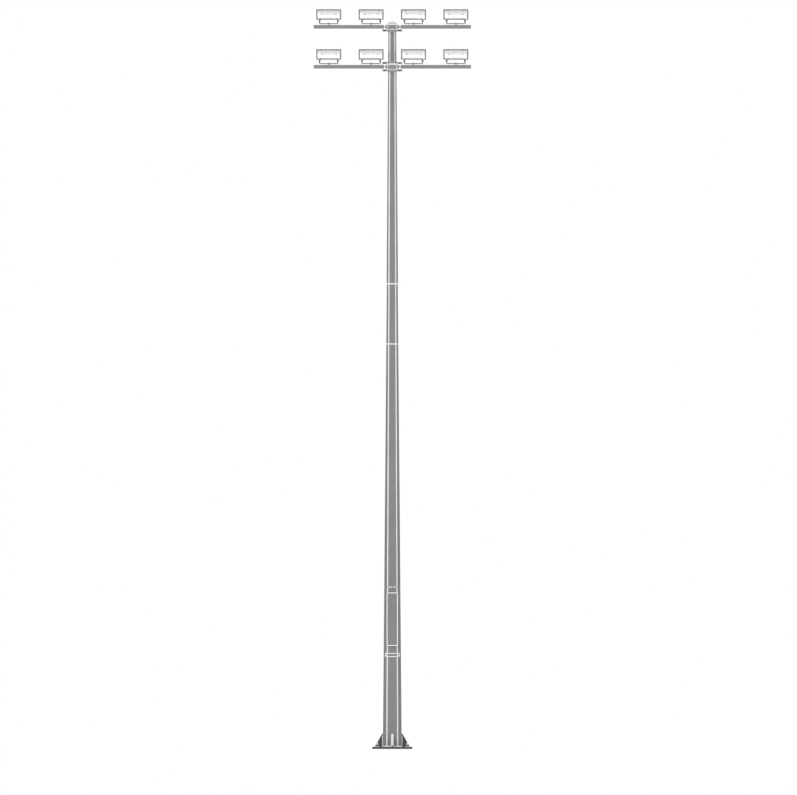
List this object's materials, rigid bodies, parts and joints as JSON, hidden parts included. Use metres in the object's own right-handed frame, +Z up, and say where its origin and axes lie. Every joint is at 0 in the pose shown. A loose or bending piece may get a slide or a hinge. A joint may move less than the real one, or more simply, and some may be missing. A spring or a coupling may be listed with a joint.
{
  "type": "high mast floodlight tower",
  "caption": "Tall tapered eight-sided floodlight mast on a gusseted base plate, with an access door and crossarms that carry floodlights on turning, tilting yokes.",
  "frame": {"origin": "middle of the base plate's underside, on the ground", "axes": "+Z up the mast, -Y towards the front, where the door and the floodlights face"},
  "size_m": [3.46, 0.88, 16.274],
  "materials": {
    "galvanised_steel": "hot-dip galvanised, dull grey with a faint spangle",
    "base_coating": "dark grey protective coating",
    "plate_metal": "satin",
    "lock_metal": "satin",
    "lamp_paint": "grey powder coat on cast aluminium",
    "lamp_glass": "clear toughened glass"
  },
  "bodies": {
    "mast": {"base_plate": "base_coating", "base_gussets": "base_coating", "shaft_foot": "galvanised_steel", "door_section": "galvanised_steel", "lower_shaft": "galvanised_steel", "middle_shaft": "galvanised_steel", "upper_shaft": "galvanised_steel", "mast_cap": "plate_metal", "door_frame": "galvanised_steel", "door_hinges": "galvanised_steel", "drip_strips": "galvanised_steel", "name_plate": "plate_metal", "upper_crossarm": "galvanised_steel", "lower_crossarm": "galvanised_steel", "arm_end_plates": "galvanised_steel", "yoke_bolts": "galvanised_steel", "upper_clamp_front": "galvanised_steel", "upper_clamp_back": "galvanised_steel", "lower_clamp_front": "galvanised_steel", "lower_clamp_back": "galvanised_steel"},
    "door": {"door_leaf": "galvanised_steel", "door_skirt": "galvanised_steel", "door_locks": "lock_metal"},
    "yoke_body_upper_1": {"yoke_upper_1": "lamp_paint"},
    "head_upper_1": {"housing_upper_1": "lamp_paint", "glass_upper_1": "lamp_glass"},
    "yoke_body_upper_2": {"yoke_upper_2": "lamp_paint"},
    "head_upper_2": {"housing_upper_2": "lamp_paint", "glass_upper_2": "lamp_glass"},
    "yoke_body_upper_3": {"yoke_upper_3": "lamp_paint"},
    "head_upper_3": {"housing_upper_3": "lamp_paint", "glass_upper_3": "lamp_glass"},
    "yoke_body_upper_4": {"yoke_upper_4": "lamp_paint"},
    "head_upper_4": {"housing_upper_4": "lamp_paint", "glass_upper_4": "lamp_glass"},
    "yoke_body_lower_1": {"yoke_lower_1": "lamp_paint"},
    "head_lower_1": {"housing_lower_1": "lamp_paint", "glass_lower_1": "lamp_glass"},
    "yoke_body_lower_2": {"yoke_lower_2": "lamp_paint"},
    "head_lower_2": {"housing_lower_2": "lamp_paint", "glass_lower_2": "lamp_glass"},
    "yoke_body_lower_3": {"yoke_lower_3": "lamp_paint"},
    "head_lower_3": {"housing_lower_3": "lamp_paint", "glass_lower_3": "lamp_glass"},
    "yoke_body_lower_4": {"yoke_lower_4": "lamp_paint"},
    "head_lower_4": {"housing_lower_4": "lamp_paint", "glass_lower_4": "lamp_glass"}
  },
  "joints": [
    {"name": "door_swing", "type": "hinge", "parent": "mast", "child": "door", "pos_m": [-0.136, -0.19566, 2.8551], "axis": [0, -0.0085, -1], "range_deg": [0, 110]},
    {"name": "pan_upper_1", "type": "hinge", "parent": "mast", "child": "yoke_body_upper_1", "pos_m": [-1.398, -0.14833, 15.928], "axis": [0, 0, -1], "range_deg": [-60, 60]},
    {"name": "tilt_upper_1", "type": "hinge", "parent": "yoke_body_upper_1", "child": "head_upper_1", "pos_m": [-1.398, -0.14833, 16.013], "axis": [1, 0, 0], "range_deg": [-30, 60]},
    {"name": "pan_upper_2", "type": "hinge", "parent": "mast", "child": "yoke_body_upper_2", "pos_m": [-0.466, -0.14833, 15.928], "axis": [0, 0, -1], "range_deg": [-60, 60]},
    {"name": "tilt_upper_2", "type": "hinge", "parent": "yoke_body_upper_2", "child": "head_upper_2", "pos_m": [-0.466, -0.14833, 16.013], "axis": [1, 0, 0], "range_deg": [-30, 60]},
    {"name": "pan_upper_3", "type": "hinge", "parent": "mast", "child": "yoke_body_upper_3", "pos_m": [0.466, -0.14833, 15.928], "axis": [0, 0, 1], "range_deg": [-60, 60]},
    {"name": "tilt_upper_3", "type": "hinge", "parent": "yoke_body_upper_3", "child": "head_upper_3", "pos_m": [0.466, -0.14833, 16.013], "axis": [1, 0, 0], "range_deg": [-30, 60]},
    {"name": "pan_upper_4", "type": "hinge", "parent": "mast", "child": "yoke_body_upper_4", "pos_m": [1.398, -0.14833, 15.928], "axis": [0, 0, 1], "range_deg": [-60, 60]},
    {"name": "tilt_upper_4", "type": "hinge", "parent": "yoke_body_upper_4", "child": "head_upper_4", "pos_m": [1.398, -0.14833, 16.013], "axis": [1, 0, 0], "range_deg": [-30, 60]},
    {"name": "pan_lower_1", "type": "hinge", "parent": "mast", "child": "yoke_body_lower_1", "pos_m": [-1.398, -0.15469, 15.05], "axis": [0, 0, -1], "range_deg": [-60, 60]},
    {"name": "tilt_lower_1", "type": "hinge", "parent": "yoke_body_lower_1", "child": "head_lower_1", "pos_m": [-1.398, -0.15469, 15.135], "axis": [1, 0, 0], "range_deg": [-30, 60]},
    {"name": "pan_lower_2", "type": "hinge", "parent": "mast", "child": "yoke_body_lower_2", "pos_m": [-0.466, -0.15469, 15.05], "axis": [0, 0, -1], "range_deg": [-60, 60]},
    {"name": "tilt_lower_2", "type": "hinge", "parent": "yoke_body_lower_2", "child": "head_lower_2", "pos_m": [-0.466, -0.15469, 15.135], "axis": [1, 0, 0], "range_deg": [-30, 60]},
    {"name": "pan_lower_3", "type": "hinge", "parent": "mast", "child": "yoke_body_lower_3", "pos_m": [0.466, -0.15469, 15.05], "axis": [0, 0, 1], "range_deg": [-60, 60]},
    {"name": "tilt_lower_3", "type": "hinge", "parent": "yoke_body_lower_3", "child": "head_lower_3", "pos_m": [0.466, -0.15469, 15.135], "axis": [1, 0, 0], "range_deg": [-30, 60]},
    {"name": "pan_lower_4", "type": "hinge", "parent": "mast", "child": "yoke_body_lower_4", "pos_m": [1.398, -0.15469, 15.05], "axis": [0, 0, 1], "range_deg": [-60, 60]},
    {"name": "tilt_lower_4", "type": "hinge", "parent": "yoke_body_lower_4", "child": "head_lower_4", "pos_m": [1.398, -0.15469, 15.135], "axis": [1, 0, 0], "range_deg": [-30, 60]}
  ]
}
